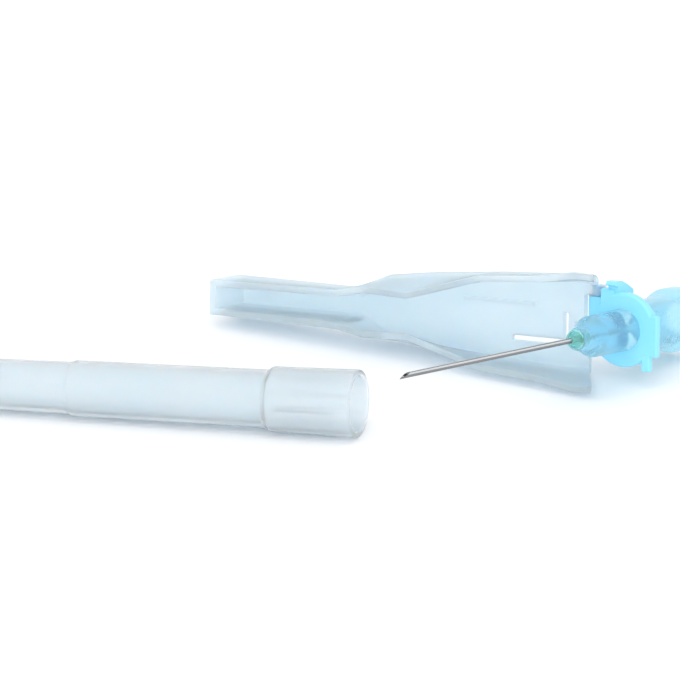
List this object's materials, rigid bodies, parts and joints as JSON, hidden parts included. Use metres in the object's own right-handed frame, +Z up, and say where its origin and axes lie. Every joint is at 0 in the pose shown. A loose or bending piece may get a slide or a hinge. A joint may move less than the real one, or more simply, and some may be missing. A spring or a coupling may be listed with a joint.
{
  "type": "safety hypodermic needle",
  "caption": "Safety hypodermic needle with a luer hub, a hinged sheath swung open beside the needle, and its stepped cap taken off and lying beside it.",
  "frame": {"origin": "on the table, under the middle of the box round the whole part as it lies", "axes": "+Z up from the table; +X along the cap, from its closed end towards its mouth; the needle points towards -Y and a little up"},
  "size_m": [0.087, 0.0618, 0.0166],
  "materials": {
    "steel": "drawn stainless steel",
    "adhesive": "cured clear green adhesive",
    "hub_blue": "translucent light blue moulding",
    "collar_blue": "translucent blue moulding, more solid than the hub",
    "frosted_sheath": "frosted translucent moulding",
    "clear_cap": "translucent moulding with a satin surface"
  },
  "bodies": {
    "needle": {"hub": "hub_blue", "cannula": "steel", "adhesive_bead": "adhesive", "collar": "collar_blue", "cap": "clear_cap"},
    "sheath": {"sheath": "frosted_sheath"}
  },
  "joints": [
    {"name": "sheath_hinge", "type": "hinge", "parent": "needle", "child": "sheath", "pos_m": [0.03293, 0.0171, 0.00628], "axis": [-0.0161, 0.2148, 0.9765], "range_deg": [-75, 90]}
  ]
}
